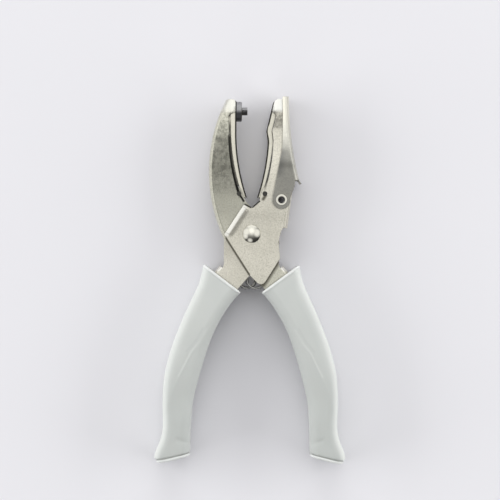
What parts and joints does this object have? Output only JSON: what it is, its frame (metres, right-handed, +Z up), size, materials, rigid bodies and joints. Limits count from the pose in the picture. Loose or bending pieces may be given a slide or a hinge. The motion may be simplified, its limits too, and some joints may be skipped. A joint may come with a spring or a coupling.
{
  "type": "heart craft punch",
  "caption": "Hand-held plier punch with crossed sheet-steel arms, a heart-shaped pin and die at the jaws, a hinged chip cover and moulded grips.",
  "frame": {"origin": "on the surface below, under the middle of the tool's box", "axes": "+Y from the grips to the jaws, +Z up out of the surface the tool lies on, +X to the die jaw"},
  "size_m": [0.0906, 0.1724, 0.017],
  "materials": {
    "nickel_steel": "bright nickel-plated sheet with fine scuffs",
    "strip_steel": "bright folded strip with polished edges",
    "cover_steel": "nickel-plated thin sheet",
    "rivet_steel": "polished",
    "pin_steel": "turned",
    "punch_black": "blackened tool steel",
    "spring_steel": "drawn wire",
    "grip_plastic": "satin moulded soft plastic"
  },
  "bodies": {
    "die_side": {"die_arm": "nickel_steel", "die_strip": "strip_steel", "die_strip_pin": "pin_steel", "pivot_rivet": "rivet_steel", "pivot_sleeve": "pin_steel", "handle_spring": "spring_steel", "cover_eyelet": "rivet_steel", "left_grip": "grip_plastic"},
    "punch_side": {"punch_arm": "nickel_steel", "punch_strip": "strip_steel", "punch_strip_pin": "pin_steel", "punch_collar": "punch_black", "punch_pin": "punch_black", "stem_ring": "pin_steel", "right_grip": "grip_plastic"},
    "cover": {"chip_cover": "cover_steel"}
  },
  "joints": [
    {"name": "squeeze", "type": "hinge", "parent": "die_side", "child": "punch_side", "pos_m": [0, 0.022, 0.0085], "axis": [0, 0, -1], "range_deg": [0, 13], "stiffness_Nm_per_rad": 2, "springref_deg": -14.32, "deforming": ["handle_spring"]},
    {"name": "cover_swing", "type": "hinge", "parent": "die_side", "child": "cover", "pos_m": [0.0138, 0.038, 0.0085], "axis": [0, 0, -1], "range_deg": [0, 50]}
  ]
}
